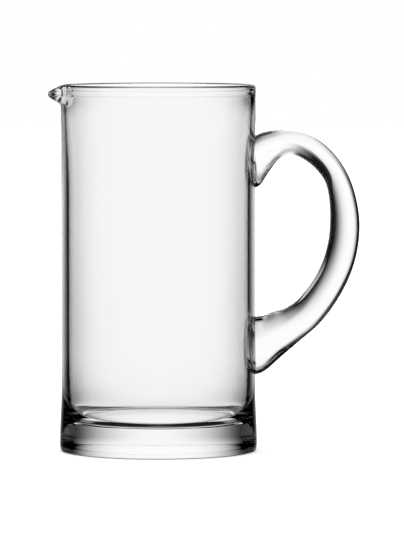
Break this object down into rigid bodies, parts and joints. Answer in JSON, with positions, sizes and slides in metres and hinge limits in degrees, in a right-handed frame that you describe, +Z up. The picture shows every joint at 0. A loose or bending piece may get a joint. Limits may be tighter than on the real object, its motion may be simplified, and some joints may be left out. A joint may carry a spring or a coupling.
{
  "type": "cocktail pitcher",
  "caption": "Clear blown glass jug with a straight wall, a heavy solid base, a lip drawn out of the rim and a thick rod handle.",
  "frame": {"origin": "on the jug's axis, in the plane that it stands on", "axes": "+Z up the jug's axis to the rim, +X towards the handle, so the lip points to -X"},
  "size_m": [0.1698, 0.1078, 0.1995],
  "materials": {
    "body_glass": "clear blown glass, fire-polished, faint grey-green through the thick base",
    "handle_glass": "clear drawn glass rod, fire-polished"
  },
  "bodies": {
    "root": {"body": "body_glass", "handle": "handle_glass"}
  },
  "joints": []
}
